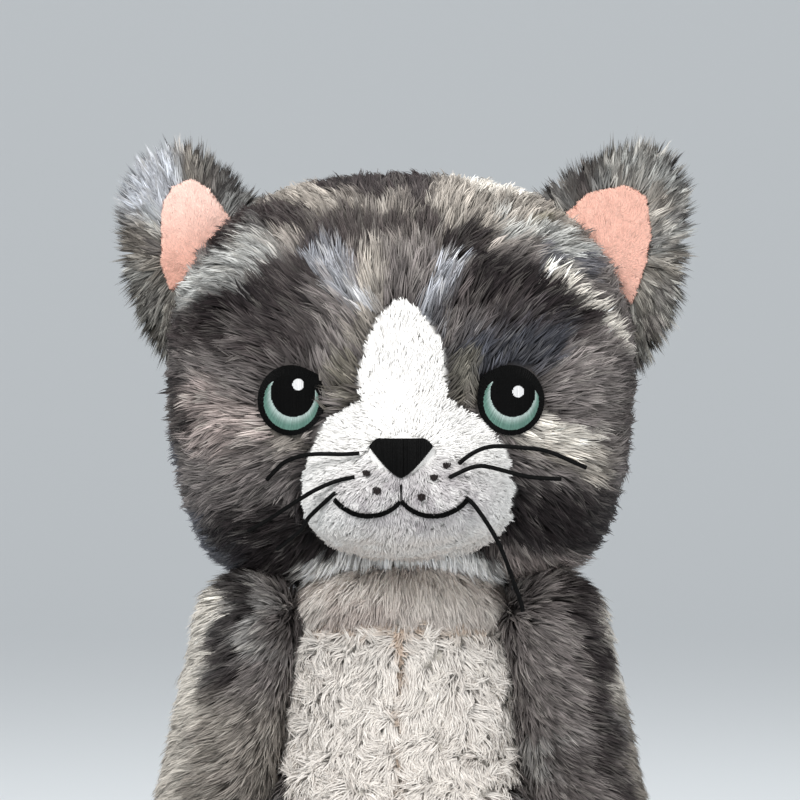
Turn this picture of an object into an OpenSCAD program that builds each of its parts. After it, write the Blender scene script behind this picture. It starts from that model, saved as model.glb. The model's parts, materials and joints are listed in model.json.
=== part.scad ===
// Seated plush cat: a large round head with folding ears, a pear-shaped body,
// hanging front legs, hind legs stretched forward and a tail lying on the ground.
// The seat is at z = 0 and the face looks towards -Y.

/* [Head] */
// Half the width of the head
head_half_w = 74; // [72:1:76]
// Radius of the head from front to back and from top to bottom
head_r = 64; // [62:1:65]
// Height of the head's centre above the seat
head_z = 194.5; // [194:0.5:197]
// Half the width of the muzzle
muzzle_half_w = 34; // [34:0.5:35]
// Radius of the muzzle
muzzle_r = 25; // [23:0.5:25]
// Height of the muzzle's centre above the seat
muzzle_z = 162; // [162:1:165]
// Distance from the neck's axis forward to the muzzle's centre
muzzle_forward = 49; // [48:1:51]

/* [Face embroidery] */
// Distance from the middle of the face to each eye
eye_x = 35.4; // [34:0.2:37]
// Height of the eyes above the seat
eye_z = 187; // [185:1:190]
// Thickness of the embroidery that stands on the fabric
stitch_t = 1; // [0.6:0.1:1.4]
// Diameter of a whisker
whisker_d = 1.4; // [1:0.1:1.8]

/* [Body] */
// Radius of the ball of stuffing in the neck seam
neck_r = 24; // [22:0.5:24]
// Height of the neck's centre above the seat
neck_z = 128; // [127:0.5:129]
// Radius of the flat seat
seat_r = 35; // [30:1:35]
// Thickness of the plush fabric with its pile pressed down
wall = 3.5; // [2.5:0.5:4]

/* [Legs and tail] */
// Radius of a front leg
arm_r = 17; // [15:0.5:17]
// Radius of a hind leg
leg_r = 17.5; // [16:0.5:17.5]
// Radius of the tail
tail_r = 10; // [8:0.5:10]
// Radius of the curve that the tail lies in
tail_bend_r = 38; // [34:1:40]

/* [Hidden] */
$fn = 64;
left = -1;
right = 1;
fit_gap = 0.3;       // room between stuffing and fabric
touch_gap = 0.05;    // room under the embroidery
far = 300;           // longer than any part
bands = 20;          // cone bands in a rounded form

// Neck
socket_r = neck_r + 0.5;
// Body outline, radius against height
body_outline = [[36, 0], [41.5, 6], [44, 20], [44.5, 36], [43, 54],
    [40, 75], [36, 95], [31.5, 112], [27, 126]];
body_top = 126;
yoke_z = 112;        // seam between the chest yoke and the belly
// Front legs hang from the shoulders
shoulder = [50, -16, 110];
hand = [66, -16, 22];
sock_h = 34;         // white part of each paw
// Hind legs
hip = [29.5, -46, 17.5];
ankle_y = -104;
foot = [29.5, -110, 24];
foot_r = 18;
hip_room = 1;        // clearance around the turning hip
// Tail
tail_root_y = 48.5;
tail_turn = 160;
tip_turn = 118;      // where the dark tip starts
root_turn = -12;     // how far the root reaches back into the body
root_room = 13.5;    // radius of the hollow that the root turns in
tail_cap = [8, 5];   // length and end radius of the tapering end
// Head: superellipse powers, and the seam between face and back
head_power = 3;
muzzle_power = 2.3;
back_seam_y = 8;
// Eye shapes: half width and half height
eye_size = [10.5, 11];
iris_size = [9.2, 9.2];
iris_drop = -0.8;
pupil_size = [7, 7.6];
pupil_rise = 2.4;
glint_size = [2.1, 2.2];
glint_shift = [2.2, 5];
// Ears: corners of the left one's outline in X and Z, each with its rounding
ear_y = 2;
ear_t = 5;
lining_t = 1.5;
ear_corners = [[-56.2, 255, 2], [-67, 262.5, 3], [-82, 254, 4], [-86, 237, 3], [-84.6, 218.7, 2]];
lining_corners = [[-60.2, 250.8, 1.5], [-68, 256, 2], [-77, 251, 2.5], [-80, 238, 2], [-80, 225.5, 1.5]];
// Whisker routes from root to tip
route_left_upper = [[-13, -73.4, 170.4], [-18, -74, 170.1], [-24, -73, 170.2], [-30, -71, 169.8],
    [-36, -68, 167.8], [-39, -66, 165.2], [-42, -64, 162]];
route_left_middle = [[-14.5, -73.4, 163], [-20, -73.5, 161.8], [-27, -72, 158.8], [-35, -69, 153.8],
    [-42, -66, 149.2], [-48, -64, 146]];
route_left_lower = [[-18, -72, 160], [-21, -72, 157.6], [-25, -70.5, 154], [-29, -67.5, 150],
    [-31, -64, 146.5], [-35, -59, 143], [-39, -54, 140]];
route_right_upper = [[18, -72.4, 167.2], [20.5, -73, 169.2], [24, -73, 171.3], [29, -72, 172.6],
    [37, -70, 172.2], [45, -68, 171.2], [51, -66, 168.9], [58, -63, 165.8]];
route_right_middle = [[15, -73.4, 162.8], [18, -74, 164.3], [22, -74, 166], [26, -73.5, 166.4],
    [32, -72, 165], [40, -70, 163], [50, -67, 162.3]];
route_right_lower = [[19.5, -72, 157], [22.5, -72.6, 154.6], [27.5, -71.5, 147.6], [31.5, -69, 140],
    [34.8, -66, 131.3], [37.6, -63.5, 123.4], [38.2, -63, 120.6]];

dark = [0.27, 0.24, 0.24];
grey = [0.5, 0.48, 0.47];
cream = [0.86, 0.83, 0.78];
pink = [0.9, 0.7, 0.63];
green = [0.42, 0.56, 0.5];
black = [0.05, 0.05, 0.06];
white = [0.94, 0.93, 0.92];
fibre = [0.96, 0.96, 0.95];

// ---------- shared shapes ----------

// Points of a superellipse from its lower pole to its upper pole
function half_outline(half_l, r, power) = [for (i = [0:bands])
    let (t = -90 + 180 * i / bands)
    [r * pow(max(0, cos(t)), 2 / power), half_l * sign(t) * pow(abs(sin(t)), 2 / power)]];

// Points all round a superellipse
function full_outline(half_w, half_h, power) = [for (i = [0:2 * bands - 1])
    let (t = 180 * i / bands)
    [half_w * sign(cos(t)) * pow(abs(cos(t)), 2 / power), half_h * sign(sin(t)) * pow(abs(sin(t)), 2 / power)]];

// Rounded form standing along Z
module pod(half_l, r, power) {
    rotate_extrude() polygon(half_outline(half_l, r, power));
}

// A flat shape drawn in X and Z, pushed right through the front half
module from_front() {
    rotate([90, 0, 0]) linear_extrude(height = far) children();
}

module front_of(y) {
    translate([-far, y - 2 * far, -far]) cube([2 * far, 2 * far, 2 * far]);
}

module side_of(side) {
    translate([side < 0 ? -2 * far : 0, -far, -far]) cube([2 * far, 2 * far, 2 * far]);
}

// ---------- head ----------

module head_form(grow) {
    translate([0, 0, head_z]) rotate([0, 90, 0]) pod(head_half_w + grow, head_r + grow, head_power);
}

module muzzle_form(grow) {
    translate([0, -muzzle_forward, muzzle_z]) rotate([0, 90, 0])
        pod(muzzle_half_w + grow, muzzle_r + grow, muzzle_power);
}

module neck_socket() {
    translate([0, 0, neck_z]) sphere(socket_r);
}

// Blaze that runs up between the eyes from inside the muzzle
module blaze_outline() {
    polygon([[-19, 178], [-13, 189], [-12.5, 206], [-6, 216], [0, 219],
        [6, 216], [12, 206], [16, 189], [19, 178]]);
}

module head_skin() {
    difference() {
        head_form(0);
        head_form(-wall);
        neck_socket();
    }
}

module face_panel(side) {
    color(grey) difference() {
        intersection() {
            head_skin();
            front_of(back_seam_y);
            side_of(side);
        }
        from_front() blaze_outline();
        muzzle_form(0);
    }
}

module head_back() {
    color(grey) difference() {
        head_skin();
        front_of(back_seam_y);
    }
}

module muzzle_panel() {
    color(white) difference() {
        union() {
            intersection() {
                head_form(0);
                from_front() blaze_outline();
            }
            muzzle_form(0);
        }
        head_form(-wall);
        muzzle_form(-wall);
    }
}

module head_stuffing() {
    color(fibre) difference() {
        head_form(-wall - fit_gap);
        neck_socket();
    }
}

module muzzle_stuffing() {
    color(fibre) difference() {
        muzzle_form(-wall - fit_gap);
        head_form(-wall);
    }
}

// ---------- face embroidery ----------

module eye_shape(side, size, shift) {
    translate([side * eye_x + shift[0], eye_z + shift[1]]) polygon(full_outline(size[0], size[1], 2));
}

// Stitched layer on the face in the shape of its children
module on_face(thick) {
    intersection() {
        difference() {
            head_form(thick);
            head_form(touch_gap);
        }
        from_front() children();
    }
}

module on_muzzle(thick) {
    intersection() {
        difference() {
            muzzle_form(thick);
            muzzle_form(touch_gap);
        }
        front_of(-muzzle_forward);
        from_front() children();
    }
}

module eye_outline(side) {
    color(black) on_face(stitch_t) difference() {
        eye_shape(side, eye_size, [0, 0]);
        eye_shape(side, iris_size, [0, iris_drop]);
    }
}

module eye_iris(side) {
    color(green) on_face(stitch_t) difference() {
        eye_shape(side, iris_size, [0, iris_drop]);
        eye_shape(side, pupil_size, [0, pupil_rise]);
    }
}

module eye_pupil(side) {
    color(black) on_face(stitch_t) intersection() {
        eye_shape(side, iris_size, [0, iris_drop]);
        difference() {
            eye_shape(side, pupil_size, [0, pupil_rise]);
            eye_shape(side, glint_size, glint_shift);
        }
    }
}

module eye_glint(side) {
    color(white) on_face(stitch_t) eye_shape(side, glint_size, glint_shift);
}

module nose() {
    color(black) on_muzzle(1.6) polygon([[-9.8, 172.4], [-6.5, 174.8], [6.5, 174.8],
        [9.8, 172.4], [1.2, 162.8], [-1.2, 162.8]]);
}

// One curved line of stitches
module smile(side) {
    smile_r = 13.4;
    line_w = 1.2;
    translate([side * 9.9, 163.1]) intersection() {
        difference() {
            circle(smile_r + line_w / 2);
            circle(smile_r - line_w / 2);
        }
        polygon([[0, 0], [-19, -18], [19, -18]]);
    }
}

module mouth_stitches() {
    color(black) on_muzzle(stitch_t) {
        smile(left);
        smile(right);
        translate([-0.6, 153]) square([1.2, 9.6]);
    }
}

module freckle_stitches() {
    color(dark) on_muzzle(stitch_t)
        for (p = [[-10.6, 165], [-7.7, 159.8], [13.8, 167.4], [10.2, 163.6], [6.7, 158]])
            translate(p) circle(0.9);
}

// Thin cord along a route: 8 sides, a ring about every 2 or 3 diameters
cord_sides = 8;
function unit(v) = v / norm(v);
function heading(route, i) = unit(route[min(i + 1, len(route) - 1)] - route[max(i - 1, 0)]);
function ring(route, i, d) =
    let (t = heading(route, i), u = unit(cross(t, [0, 0.8, 0.6])), v = cross(t, u))
    [for (k = [0:cord_sides - 1]) let (a = 360 * k / cord_sides)
        route[i] + d / 2 * (cos(a) * u + sin(a) * v)];
// Each stretch of the route is halved, so the bends stay smooth
function smoothed(r) = [for (i = [0:len(r) - 2]) for (half = [0, 1])
    half == 0 ? r[i]
    : (r[i] + r[i + 1]) * 0.5625 - (r[max(i - 1, 0)] + r[min(i + 2, len(r) - 1)]) * 0.0625, r[len(r) - 1]];

module whisker(route) {
    path = smoothed(route);
    n = len(path);
    points = [for (i = [0:n - 1]) each ring(path, i, whisker_d)];
    sides = [for (i = [0:n - 2]) for (k = [0:cord_sides - 1]) let (m = (k + 1) % cord_sides)
        [i * cord_sides + k, i * cord_sides + m, (i + 1) * cord_sides + m, (i + 1) * cord_sides + k]];
    start = [for (k = [cord_sides - 1:-1:0]) k];
    end = [for (k = [0:cord_sides - 1]) (n - 1) * cord_sides + k];
    color(black) polyhedron(points, concat([start], sides, [end]));
}

// ---------- ears ----------

module ear_slab(corners, t) {
    rotate([90, 0, 0]) linear_extrude(height = t) hull()
        for (c = corners) translate([c[0], c[1]]) circle(c[2], $fn = 32);
}

module ear_back(side) {
    color(grey) scale([-side, 1, 1]) translate([0, ear_y + ear_t, 0]) ear_slab(ear_corners, ear_t);
}

module ear_lining(side) {
    color(pink) scale([-side, 1, 1]) translate([0, ear_y - touch_gap, 0]) ear_slab(lining_corners, lining_t);
}

// ---------- body ----------

module neck_stuffing() {
    color(fibre) translate([0, 0, neck_z]) sphere(neck_r);
}

module body_form(inset) {
    rotate_extrude() polygon(concat([[0, inset]],
        [for (p = body_outline) [p[0] - inset, min(max(p[1], inset), body_top - inset)]],
        [[0, body_top - inset]]));
}

// Hollows that the neck, the hips and the tail turn in
module body_hollows() {
    neck_socket();
    for (side = [left, right])
        translate([side * hip[0], hip[1], hip[2]]) sphere(leg_r + hip_room);
    translate([0, tail_root_y, tail_r]) sphere(root_room);
}

module body_skin() {
    difference() {
        body_form(0);
        body_form(wall);
        body_hollows();
    }
}

module belly_outline() {
    polygon([[-27, yoke_z], [-33, 70], [-30, 30], [-18, 10], [18, 10], [30, 30], [33, 70], [27, yoke_z]]);
}

module above_yoke_seam() {
    translate([-far, -far, yoke_z]) cube([2 * far, far, far]);
}

module chest_yoke() {
    color(cream) intersection() {
        body_skin();
        above_yoke_seam();
    }
}

module belly_panel() {
    color(white) intersection() {
        body_skin();
        from_front() belly_outline();
    }
}

module seat_disc() {
    cylinder(r = seat_r, h = wall);
}

module seat_panel() {
    color(grey) intersection() {
        body_skin();
        seat_disc();
    }
}

module flank(side) {
    color(grey) difference() {
        intersection() {
            body_skin();
            side_of(side);
        }
        above_yoke_seam();
        from_front() belly_outline();
        seat_disc();
    }
}

module torso_stuffing() {
    color(fibre) difference() {
        body_form(wall + fit_gap);
        body_hollows();
    }
}

// ---------- front legs ----------

arm_tilt = atan2(hand[0] - shoulder[0], shoulder[2] - hand[2]);
arm_half_l = norm(hand - shoulder) / 2 + arm_r;

// Places children along an arm, whose middle is the origin and whose paw is down
module at_arm(side) {
    middle = (shoulder + hand) / 2;
    scale([side, 1, 1]) translate(middle) rotate([0, -arm_tilt, 0]) children();
}

module arm_form(inset) {
    pod(arm_half_l - inset, arm_r - inset, 4);
}

module sock_zone() {
    translate([-far, -far, -2 * far - arm_half_l + sock_h]) cube([2 * far, 2 * far, 2 * far]);
}

module arm_sleeve(side) {
    color(grey) at_arm(side) difference() {
        arm_form(0);
        arm_form(wall);
        sock_zone();
    }
}

module arm_paw(side) {
    color(white) at_arm(side) intersection() {
        difference() {
            arm_form(0);
            arm_form(wall);
        }
        sock_zone();
    }
}

module arm_stuffing(side) {
    color(fibre) at_arm(side) arm_form(wall + fit_gap);
}

// ---------- hind legs ----------

module leg_form(side, inset) {
    translate([side * hip[0], (hip[1] + ankle_y) / 2, hip[2]]) rotate([90, 0, 0])
        pod((hip[1] - ankle_y) / 2 + leg_r - inset, leg_r - inset, 3);
}

module foot_form(side, inset) {
    translate([side * foot[0], foot[1], foot[2]]) pod(foot[2] - inset, foot_r - inset, 2.6);
}

module leg_skin(side) {
    color(grey) difference() {
        leg_form(side, 0);
        leg_form(side, wall);
        foot_form(side, 0);
    }
}

module leg_foot(side) {
    color(white) difference() {
        foot_form(side, 0);
        foot_form(side, wall);
        leg_form(side, wall);
    }
}

module leg_stuffing(side) {
    color(fibre) {
        leg_form(side, wall + fit_gap);
        foot_form(side, wall + fit_gap);
    }
}

// ---------- tail ----------

// A stretch of the tail between two angles, counted from its root
module tail_stretch(inset, from, to) {
    translate([tail_bend_r, tail_root_y, tail_r]) rotate([0, 0, 180 - to])
        rotate_extrude(angle = to - from) translate([tail_bend_r, 0]) circle(tail_r - inset);
}

module tail_skin() {
    color(grey) difference() {
        tail_stretch(0, root_turn, tip_turn);
        tail_stretch(wall, root_turn, tip_turn);
    }
}

// Tapering end that starts a little way inside the tail
module tail_end() {
    overlap = 1;
    translate([tail_bend_r * (1 - cos(tail_turn)), tail_root_y + tail_bend_r * sin(tail_turn), tail_r])
        rotate([-90, 0, -tail_turn]) translate([0, 0, -overlap])
            cylinder(r1 = tail_r - 0.4, r2 = tail_cap[1], h = tail_cap[0] + overlap);
}

module tail_tip() {
    color(dark) difference() {
        union() {
            tail_stretch(0, tip_turn, tail_turn);
            tail_end();
        }
        tail_stretch(wall, tip_turn, tail_turn);
    }
}

module tail_stuffing() {
    color(fibre) tail_stretch(wall + fit_gap, root_turn, tail_turn);
}

// ---------- nodes ----------

face_panel(left);  // face_left
face_panel(right);  // face_right
head_back();
muzzle_panel();
head_stuffing();
muzzle_stuffing();
eye_outline(left);  // eye_left_outline
eye_iris(left);  // eye_left_iris
eye_pupil(left);  // eye_left_pupil
eye_glint(left);  // eye_left_glint
eye_outline(right);  // eye_right_outline
eye_iris(right);  // eye_right_iris
eye_pupil(right);  // eye_right_pupil
eye_glint(right);  // eye_right_glint
nose();
mouth_stitches();
freckle_stitches();
whisker(route_left_upper);  // whisker_left_upper
whisker(route_left_middle);  // whisker_left_middle
whisker(route_left_lower);  // whisker_left_lower
whisker(route_right_upper);  // whisker_right_upper
whisker(route_right_middle);  // whisker_right_middle
whisker(route_right_lower);  // whisker_right_lower
ear_back(left);  // ear_left_back
ear_lining(left);  // ear_left_lining
ear_back(right);  // ear_right_back
ear_lining(right);  // ear_right_lining
neck_stuffing();
chest_yoke();
belly_panel();
flank(left);  // flank_left
flank(right);  // flank_right
seat_panel();
torso_stuffing();
arm_sleeve(left);  // arm_left_sleeve
arm_paw(left);  // arm_left_paw
arm_stuffing(left);  // arm_left_stuffing
arm_sleeve(right);  // arm_right_sleeve
arm_paw(right);  // arm_right_paw
arm_stuffing(right);  // arm_right_stuffing
leg_skin(left);  // leg_left_skin
leg_foot(left);  // leg_left_foot
leg_stuffing(left);  // leg_left_stuffing
leg_skin(right);  // leg_right_skin
leg_foot(right);  // leg_right_foot
leg_stuffing(right);  // leg_right_stuffing
tail_skin();
tail_tip();
tail_stuffing();
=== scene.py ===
"""Looks of the plush cat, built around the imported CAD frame.

Shapes are worked out in millimetres in the row frame and become metres when a mesh is made.
A soft piece is a stuffed fabric form with a pile of fine tapered strands standing on it.
"""

import json
import math

import bmesh
import bpy
import numpy as np
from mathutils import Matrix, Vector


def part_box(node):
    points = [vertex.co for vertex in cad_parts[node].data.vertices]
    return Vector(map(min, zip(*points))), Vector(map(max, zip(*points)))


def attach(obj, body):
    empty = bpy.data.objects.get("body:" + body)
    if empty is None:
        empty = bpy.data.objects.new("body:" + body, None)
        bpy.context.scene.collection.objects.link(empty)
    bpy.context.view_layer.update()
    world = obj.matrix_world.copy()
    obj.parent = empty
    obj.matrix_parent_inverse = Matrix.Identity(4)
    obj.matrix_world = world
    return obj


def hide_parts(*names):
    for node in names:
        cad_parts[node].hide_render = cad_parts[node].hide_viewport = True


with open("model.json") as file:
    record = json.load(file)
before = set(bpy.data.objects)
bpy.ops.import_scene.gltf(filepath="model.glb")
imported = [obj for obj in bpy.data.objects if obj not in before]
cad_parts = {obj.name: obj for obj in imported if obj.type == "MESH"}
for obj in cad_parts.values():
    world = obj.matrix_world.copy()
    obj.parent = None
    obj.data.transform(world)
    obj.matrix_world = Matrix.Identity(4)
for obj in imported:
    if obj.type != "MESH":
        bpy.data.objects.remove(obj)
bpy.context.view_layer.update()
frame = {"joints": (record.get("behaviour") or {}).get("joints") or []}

MM = 0.001
UP = np.array([0.0, 0.0, 1.0])
SIDES = {"left": -1, "right": 1}


# ---------- small helpers ----------

def unit(v):
    """Vectors scaled to length 1."""
    return v / np.maximum(np.linalg.norm(v, axis=-1, keepdims=True), 1e-9)


def smoothstep(low, high, x):
    t = np.clip((x - low) / (high - low), 0, 1)
    return t * t * (3 - 2 * t)


def mix(a, b, share):
    return a + (b - a) * share


def tiled(points, row):
    """The same row for each of the points."""
    return np.tile(row, (len(points), 1))


def only(chosen, *arrays):
    """The chosen rows of each array."""
    return [array[chosen] for array in arrays]


def srgb(red, green, blue):
    """Linear colour from display values between 0 and 255."""
    c = np.array([red, green, blue]) / 255
    return np.where(c <= 0.04045, c / 12.92, ((c + 0.055) / 1.055) ** 2.4)


def waves(points, wavelength, seed):
    """Smooth noise, mostly between -1 and 1: plane waves in random directions."""
    rng = np.random.default_rng(seed)
    count = 12
    rate = unit(rng.normal(size=(count, 3))) * (2 * np.pi / wavelength * rng.uniform(0.6, 1.7, (count, 1)))
    phase = rng.uniform(0, 2 * np.pi, count)
    return np.sin(points @ rate.T + phase).sum(1) / math.sqrt(count)


def swirl(points, wavelength, seed):
    """Smooth random directions, for fur that wanders."""
    return np.stack([waves(points, wavelength, seed + k) for k in range(3)], 1)


def cad_box(node):
    """Lowest and highest corner of a CAD node in millimetres."""
    low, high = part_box(node)
    return np.array(low) / MM, np.array(high) / MM


JOINTS = {joint["name"]: joint for joint in frame["joints"]}


def pivot(joint):
    """Where a joint turns, in millimetres."""
    return np.array(JOINTS[joint]["pos_m"], float) / MM


# ---------- measures taken from the frame ----------

head_low, head_high = cad_box("head_back")
HEAD = np.array([0, 0, (head_low[2] + head_high[2]) / 2])
HEAD_HALF_W = head_high[0]
HEAD_R = head_high[1]

muzzle_low, muzzle_high = cad_box("muzzle_stuffing")
MUZZLE_Z = (muzzle_low[2] + muzzle_high[2]) / 2
muzzle_low, muzzle_high = cad_box("muzzle_panel")
MUZZLE_R = MUZZLE_Z - muzzle_low[2]
MUZZLE_HALF_W = muzzle_high[0]
MUZZLE = np.array([0, muzzle_low[1] + MUZZLE_R, MUZZLE_Z])

BODY_R = -cad_box("flank_left")[0][0]
YOKE_SEAM_Z = cad_box("chest_yoke")[0][2]


# ---------- camera ----------

def make_camera():
    camera = bpy.data.objects.new("camera", bpy.data.cameras.new("camera"))
    camera.data.lens = 225
    camera.data.sensor_width = 36
    camera.data.clip_end = 20
    camera.location = (-0.0003, -1.63, 0.187)
    camera.rotation_euler = (math.radians(90), 0, 0)
    bpy.context.scene.collection.objects.link(camera)
    bpy.context.scene.camera = camera


make_camera()


# ---------- materials ----------

def new_material(name, specular):
    """Material with its shader and a noise texture in object space."""
    material = bpy.data.materials.new(name)
    material.use_nodes = True
    nodes = material.node_tree.nodes
    shader = nodes["Principled BSDF"]
    shader.inputs["Specular IOR Level"].default_value = specular
    place = nodes.new("ShaderNodeTexCoord")
    noise = nodes.new("ShaderNodeTexNoise")
    material.node_tree.links.new(place.outputs["Object"], noise.inputs["Vector"])
    return material, shader, noise


def add_relief(material, shader, noise, strength, depth):
    """Fine bumps from the noise, depth in metres."""
    relief = material.node_tree.nodes.new("ShaderNodeBump")
    relief.inputs["Strength"].default_value = strength
    relief.inputs["Distance"].default_value = depth
    material.node_tree.links.new(noise.outputs["Fac"], relief.inputs["Height"])
    material.node_tree.links.new(relief.outputs["Normal"], shader.inputs["Normal"])


def coat_material(name, roughness, sheen, specular, grain, grain_size, bump=0.0):
    """Cloth-like material coloured by the mesh's own coat, with grain in its roughness and bump."""
    material, shader, noise = new_material(name, specular)
    nodes = material.node_tree.nodes
    links = material.node_tree.links
    coat = nodes.new("ShaderNodeAttribute")
    coat.attribute_name = "coat"
    links.new(coat.outputs["Color"], shader.inputs["Base Color"])
    shader.inputs["Sheen Weight"].default_value = sheen
    shader.inputs["Sheen Roughness"].default_value = 0.45
    noise.inputs["Scale"].default_value = 1 / grain_size
    noise.inputs["Detail"].default_value = 3
    spread = nodes.new("ShaderNodeMapRange")
    spread.inputs["To Min"].default_value = roughness - grain
    spread.inputs["To Max"].default_value = min(1, roughness + grain)
    links.new(noise.outputs["Fac"], spread.inputs["Value"])
    links.new(spread.outputs["Result"], shader.inputs["Roughness"])
    if bump:
        add_relief(material, shader, noise, bump, 0.0005)
    return material


def cord_material():
    """Waxed black cord, with the twist of its yarn as a fine bump."""
    material, shader, noise = new_material("whisker_cord", 0.05)
    links = material.node_tree.links
    shader.inputs["Roughness"].default_value = 0.5
    noise.inputs["Scale"].default_value = 900
    ramp = material.node_tree.nodes.new("ShaderNodeValToRGB")
    ramp.color_ramp.elements[0].color = (0.001, 0.001, 0.001, 1)
    ramp.color_ramp.elements[1].color = (0.005, 0.005, 0.005, 1)
    links.new(noise.outputs["Fac"], ramp.inputs["Fac"])
    links.new(ramp.outputs["Color"], shader.inputs["Base Color"])
    add_relief(material, shader, noise, 0.5, 0.0002)
    return material


FABRIC = coat_material("backing_fabric", 0.9, 0.1, 0.1, 0.08, 0.001, 0.6)
LONG_PILE = coat_material("long_pile", 0.55, 0.0, 0.1, 0.12, 0.004)
SHORT_PILE = coat_material("short_pile", 0.8, 0.0, 0.08, 0.1, 0.002)
THREAD = coat_material("satin_thread", 0.45, 0.0, 0.05, 0.08, 0.0006, 0.3)
CORD = cord_material()


# ---------- whisker cords ----------

WHISKER_D = 1.4
# Each whisker's route from its root to its tip, as in the CAD model
WHISKER_ROUTES = {
    "left_upper": [[-13, -73.4, 170.4], [-18, -74, 170.1], [-24, -73, 170.2], [-30, -71, 169.8],
                   [-36, -68, 167.8], [-39, -66, 165.2], [-42, -64, 162]],
    "left_middle": [[-14.5, -73.4, 163], [-20, -73.5, 161.8], [-27, -72, 158.8], [-35, -69, 153.8],
                    [-42, -66, 149.2], [-48, -64, 146]],
    "left_lower": [[-18, -72, 160], [-21, -72, 157.6], [-25, -70.5, 154], [-29, -67.5, 150],
                   [-31, -64, 146.5], [-35, -59, 143], [-39, -54, 140]],
    "right_upper": [[18, -72.4, 167.2], [20.5, -73, 169.2], [24, -73, 171.3], [29, -72, 172.6],
                    [37, -70, 172.2], [45, -68, 171.2], [51, -66, 168.9], [58, -63, 165.8]],
    "right_middle": [[15, -73.4, 162.8], [18, -74, 164.3], [22, -74, 166], [26, -73.5, 166.4],
                     [32, -72, 165], [40, -70, 163], [50, -67, 162.3]],
    "right_lower": [[19.5, -72, 157], [22.5, -72.6, 154.6], [27.5, -71.5, 147.6], [31.5, -69, 140],
                    [34.8, -66, 131.3], [37.6, -63.5, 123.4], [38.2, -63, 120.6]],
}


def smoothed(route):
    """Halves each stretch of a route so that its bends are smooth."""
    points = []
    for i in range(len(route) - 1):
        before = route[max(i - 1, 0)]
        after = route[min(i + 2, len(route) - 1)]
        points += [route[i], (route[i] + route[i + 1]) * 0.5625 - (before + after) * 0.0625]
    return np.array(points + [route[-1]])


def make_whisker(name, route):
    path = smoothed(smoothed(np.array(route, float))) * MM
    curve = bpy.data.curves.new("whisker_" + name + "_cord", "CURVE")
    curve.dimensions = "3D"
    curve.bevel_depth = WHISKER_D / 2 * MM
    curve.bevel_resolution = 3
    curve.use_fill_caps = True
    spline = curve.splines.new("POLY")
    spline.points.add(len(path) - 1)
    for point, place in zip(spline.points, path):
        point.co = (*place, 1)
    curve.materials.append(CORD)
    whisker = bpy.data.objects.new(curve.name, curve)
    bpy.context.scene.collection.objects.link(whisker)
    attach(whisker, "head")
    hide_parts("whisker_" + name)


for whisker_name, whisker_route in WHISKER_ROUTES.items():
    make_whisker(whisker_name, whisker_route)


# ---------- surfaces ----------

def rounded(points, centre, half, power):
    """Distance along the ray to a superellipsoid, negative inside."""
    local = points - centre
    reach = ((np.abs(local) / half) ** power).sum(-1) ** (1 / power)
    return np.linalg.norm(local, axis=-1) * (1 - 1 / np.maximum(reach, 1e-6))


def capsule(points, start, end, start_r, end_r):
    span = end - start
    t = np.clip(((points - start) @ span) / (span @ span), 0, 1)
    return np.linalg.norm(points - start - t[:, None] * span, axis=1) - mix(start_r, end_r, t)


def joined(a, b, blend):
    """Union of two distances with a soft crease."""
    h = np.clip(0.5 + 0.5 * (b - a) / blend, 0, 1)
    return mix(b, a, h) - blend * h * (1 - h)


def dented(a, b, blend):
    """Distance a with the form of distance b pressed into it."""
    return -joined(-a, b, blend)


class Surface:
    """A closed fabric surface: a mesh, and the distance function that it follows."""

    def __init__(self, distance, vertices, triangles):
        self.distance = distance
        self.vertices = vertices
        self.triangles = triangles

    def normal(self, points):
        step = 0.25
        return unit(np.stack([self.distance(points + step * axis) - self.distance(points - step * axis)
                              for axis in np.eye(3)], 1))

    def settle(self, points):
        """Moves points that are near the surface onto it."""
        for _ in range(2):
            points = points - self.distance(points)[:, None] * self.normal(points)
        return points

    def scatter(self, count, seed):
        """Evenly random points on the surface, with its normals there."""
        rng = np.random.default_rng(seed)
        a, b, c = (self.vertices[self.triangles[:, k]] for k in range(3))
        area = np.linalg.norm(np.cross(b - a, c - a), axis=1)
        pick = rng.choice(len(area), count, p=area / area.sum())
        u, v = rng.uniform(size=(2, count, 1))
        over = u + v > 1
        u, v = np.where(over, 1 - u, u), np.where(over, 1 - v, v)
        points = self.settle(a[pick] + (b[pick] - a[pick]) * u + (c[pick] - a[pick]) * v)
        return points, self.normal(points)

    def front(self, x, z, start_y=-120.0, inner_y=-20.0):
        """Points of the surface that face the viewer at the given x and z."""
        outside = np.full(len(x), start_y)
        inside = np.full(len(x), inner_y)
        for _ in range(24):
            middle = (outside + inside) / 2
            hit = self.distance(np.stack([x, middle, z], 1)) < 0
            inside = np.where(hit, middle, inside)
            outside = np.where(hit, outside, middle)
        return np.stack([x, inside, z], 1)


def star_surface(distance, centre, reach, detail=6):
    """Surface of a form of which every point is seen from its centre."""
    sphere = bmesh.new()
    bmesh.ops.create_icosphere(sphere, subdivisions=detail, radius=1)
    directions = np.array([vertex.co[:] for vertex in sphere.verts])
    triangles = np.array([[vertex.index for vertex in face.verts] for face in sphere.faces])
    sphere.free()
    near = np.zeros(len(directions))
    far = np.full(len(directions), float(reach))
    for _ in range(24):
        middle = (near + far) / 2
        inside = distance(centre + directions * middle[:, None]) < 0
        near = np.where(inside, middle, near)
        far = np.where(inside, far, middle)
    return Surface(distance, centre + directions * near[:, None], triangles)


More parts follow.
